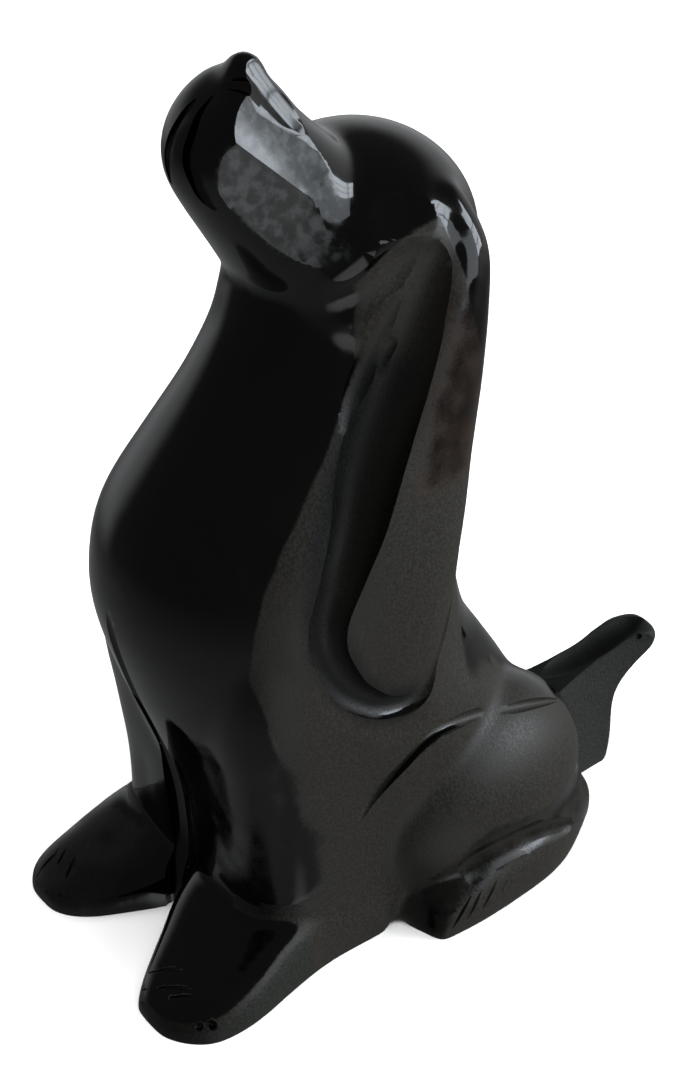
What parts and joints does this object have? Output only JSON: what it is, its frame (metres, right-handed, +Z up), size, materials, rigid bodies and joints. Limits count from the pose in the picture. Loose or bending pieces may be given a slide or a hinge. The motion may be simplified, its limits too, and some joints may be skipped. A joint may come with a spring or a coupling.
{
  "type": "dog figurine",
  "caption": "Seated hound with a lifted muzzle and long hanging ears, carved from one block of black obsidian, standing on its flat underside.",
  "frame": {"origin": "on the flat underside, in the figure's middle plane, below the back of the forelegs", "axes": "+Z up to the nose, the dog faces -Y, its left side is +X"},
  "size_m": [0.0532, 0.096, 0.1203],
  "materials": {
    "obsidian": "polished, with unpolished flats on the feet and the tail"
  },
  "bodies": {
    "root": {"dog_figurine": "obsidian"}
  },
  "joints": []
}
